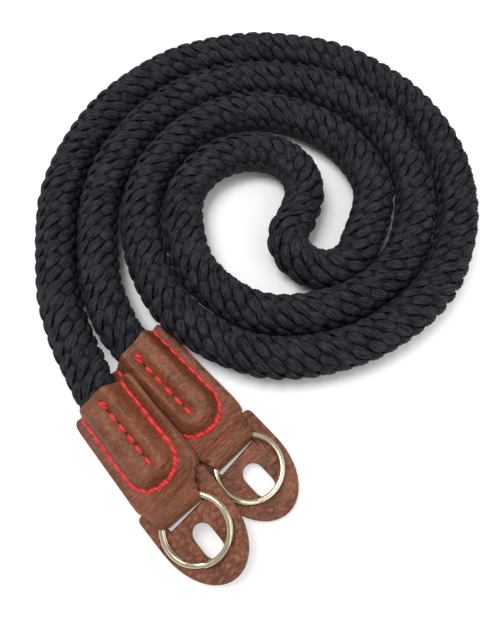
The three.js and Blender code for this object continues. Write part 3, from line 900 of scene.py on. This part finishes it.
# %% Leather
WRINKLE = (0.0008, 0.0036, 0.002)
GRAIN = (0.0011, 0.0017, 0.0013)
WOBBLE_SCALE, WOBBLE_SHARE = 500.0, 0.0009
PORE_SCALE, PORE_SHARE, CLOUD_SCALE, CLOUD_SHARE = 2600, 0.15, 150, 0.55


def leather(name, depth, grain, wrinkle, dark, light):
    """Shares of pebbled grain and of fine wrinkles across the end, and the depth of both in millimetres. The
    shares also set how much painted highlight and shade the grain puts into the colour.
    """
    finish = Finish(name, Specular_IOR_Level=0.5)
    here = finish.place()
    wobble = finish.node(
        "ShaderNodeTexNoise", None, {"Vector": here, "Scale": WOBBLE_SCALE, "Detail": 2.0}, out=1,
    )
    bent = finish.node("ShaderNodeMix", {"data_type": "VECTOR"}, {0: WOBBLE_SHARE, 4: here, 5: wobble}, out=1)

    def lengthways(size):
        turn = (0, 0, math.radians(ENDS[1]["heading"]))
        return finish.node("ShaderNodeMapping", {"vector_type": "TEXTURE"},
                           {"Vector": bent, "Rotation": turn, "Scale": size})

    cells = finish.node(
        "ShaderNodeTexVoronoi", {"feature": "SMOOTH_F1"},
        {"Vector": lengthways(GRAIN), "Scale": 1.0, "Smoothness": 0.6},
    )
    pebbles = finish.ramp(cells, (0.1, 1.0), (0.68, 0.0))
    creases = finish.noise(lengthways(WRINKLE), 1.0, detail=3, rough=0.6)
    pores = finish.noise(here, PORE_SCALE, detail=2)
    cloud = finish.noise(here, CLOUD_SCALE, detail=3)
    height = pebbles * grain + creases * (1.8 * wrinkle) + pores * PORE_SHARE
    # Painted highlight and shade: raised pebbles and wrinkles are paler and the creases darker, on top of the
    # random cloud.
    mottle_and_shade = cloud * CLOUD_SHARE + pebbles * (0.2 * grain) + creases * (0.5 * wrinkle)
    tone = finish.ramp(mottle_and_shade, (0.3, 0.0), (0.74, 1.0))
    finish.surface(
        Base_Color=finish.blend(tone, dark, light),
        Roughness=0.52 - pebbles * 0.12,
        Normal=finish.bump(height, 0.9, depth),
    )
    return finish


sleeve_leather = leather("sleeve_leather", 0.6, 0.3, 0.7, paint(88, 43, 23), paint(149, 85, 51))
guard_leather = leather("guard_leather", 0.65, 0.85, 0.25, paint(97, 50, 28), paint(162, 96, 61))
# The cut rim is paler than the grain side: partly its raw colour, partly a painted highlight of the light on
# the rim.
pale_edge_and_highlight = Finish("leather_edge_and_painted_highlight", Roughness=0.8, Specular_IOR_Level=0.3)
edge_noise = pale_edge_and_highlight.noise(pale_edge_and_highlight.place(), 1500)
pale_edge_and_highlight.surface(
    Base_Color=pale_edge_and_highlight.blend(edge_noise, paint(106, 64, 44), paint(158, 106, 80)),
    Normal=pale_edge_and_highlight.bump(edge_noise, 0.6, 0.1),
)
for sleeve in sleeves:
    finish_of_face = [face.material_index for face in sleeve.data.polygons]
    dress(sleeve, sleeve_leather, pale_edge_and_highlight)
    sleeve.data.polygons.foreach_set("material_index", finish_of_face)
for guard in guards:
    dress(guard, guard_leather)
print("leather:", len(sleeve_leather.tree.nodes), "nodes")

# %% [markdown]
# The thread is bright red and slightly waxed, twisted from a few plies. The needle holes are flat patches
# painted the dark brown of leather in shade, as painted shade, and the rings are polished nickel with a warm
# tint.

# %% Thread and rings
thread = Finish("red_thread", Roughness=0.5, Specular_IOR_Level=0.4, Sheen_Weight=0.2)
plies = thread.node("ShaderNodeTexWave", {"bands_direction": "DIAGONAL"},
                    {"Vector": thread.place(), "Scale": 420.0, "Distortion": 1.5, "Detail": 2.0}, out=1)
thread.surface(
    Base_Color=thread.blend(plies, paint(186, 15, 20), paint(235, 47, 50)),
    Normal=thread.bump(plies, 0.5, 0.12),
)
for seam in seams:
    dress(seam, thread)
# Painted shade: the hole patches get the dark brown of leather in shade.
hollow = Finish("hole_shade", Roughness=0.9, Specular_IOR_Level=0.1)
hollow_noise = hollow.noise(hollow.place(), 1500)
hollow.surface(Base_Color=hollow.blend(hollow_noise, paint(38, 16, 12), paint(66, 30, 22)))
for piece in shade_patches:
    dress(piece, hollow)
nickel = Finish("ring_nickel", Metallic=1.0)
scuffs = nickel.noise(nickel.place(), 900, detail=4)
nickel.surface(
    Base_Color=nickel.blend(scuffs, paint(206, 194, 160), paint(238, 229, 204)),
    Roughness=0.12 + scuffs * 0.12,
    Normal=nickel.bump(scuffs, 0.02, 0.05),
)
for ring in rings:
    dress(ring, nickel)
print("thread and nickel done")

# %% [markdown]
# The strap lies on a plain pale floor in soft studio light: one large light high above and a little to the
# left, a weaker one from the right, and a bright surround that fills the shadows. The photograph's floor is
# pure white, so the floor glows a little outside the coil. Inside it the passes of rope shade the floor, so
# the glow fades out there.

# %% Floor and light
GLOW, PER_METRE = 0.45, 10
GLOW_EDGE = (0.51, 0.57)  # in tenths of a metre from the coil's centre
LIT_GREY, GLOWING_GREY, SURROUND = (0.93, 0.93, 0.93, 1), (0.6, 0.6, 0.6, 1), 0.45

bpy.ops.object.select_all(action="DESELECT")
bpy.ops.mesh.primitive_plane_add(size=3, location=(0, 0, 0))
floor = bpy.context.object
floor.name = "floor"
pale = Finish("pale_floor", Roughness=0.9, Specular_IOR_Level=0.1, Emission_Strength=GLOW)
away = pale.node(
    "ShaderNodeVectorMath", {"operation": "DISTANCE"},
    {0: pale.place(), 1: tuple(COIL_CENTRE * MM)}, out=1,
)
glow = pale.ramp(away * PER_METRE, (GLOW_EDGE[0], 0.0), (GLOW_EDGE[1], 1.0))
pale.surface(Base_Color=pale.blend(glow, LIT_GREY, GLOWING_GREY), Emission_Color=glow)
dress(floor, pale)


def lamp(name, place, size, power):
    """A square light that faces the strap."""
    bpy.ops.object.light_add(type="AREA", location=place)
    light = bpy.context.object
    light.name = name
    light.data.size = size
    light.data.energy = power
    light.rotation_euler = (-Vector(place)).to_track_quat("-Z", "Y").to_euler()


lamp("key", (-0.28, 0.1, 0.85), size=0.5, power=6.1)
lamp("fill", (0.6, -0.3, 0.6), size=0.8, power=2.4)
world = bpy.context.scene.world or bpy.data.worlds.new("surround")
bpy.context.scene.world = world
world.use_nodes = True
world.node_tree.nodes["Background"].inputs["Color"].default_value = (1, 1, 1, 1)
world.node_tree.nodes["Background"].inputs["Strength"].default_value = SURROUND
bpy.context.scene.view_settings.view_transform = "Standard"
print("floor and two lamps are in place")
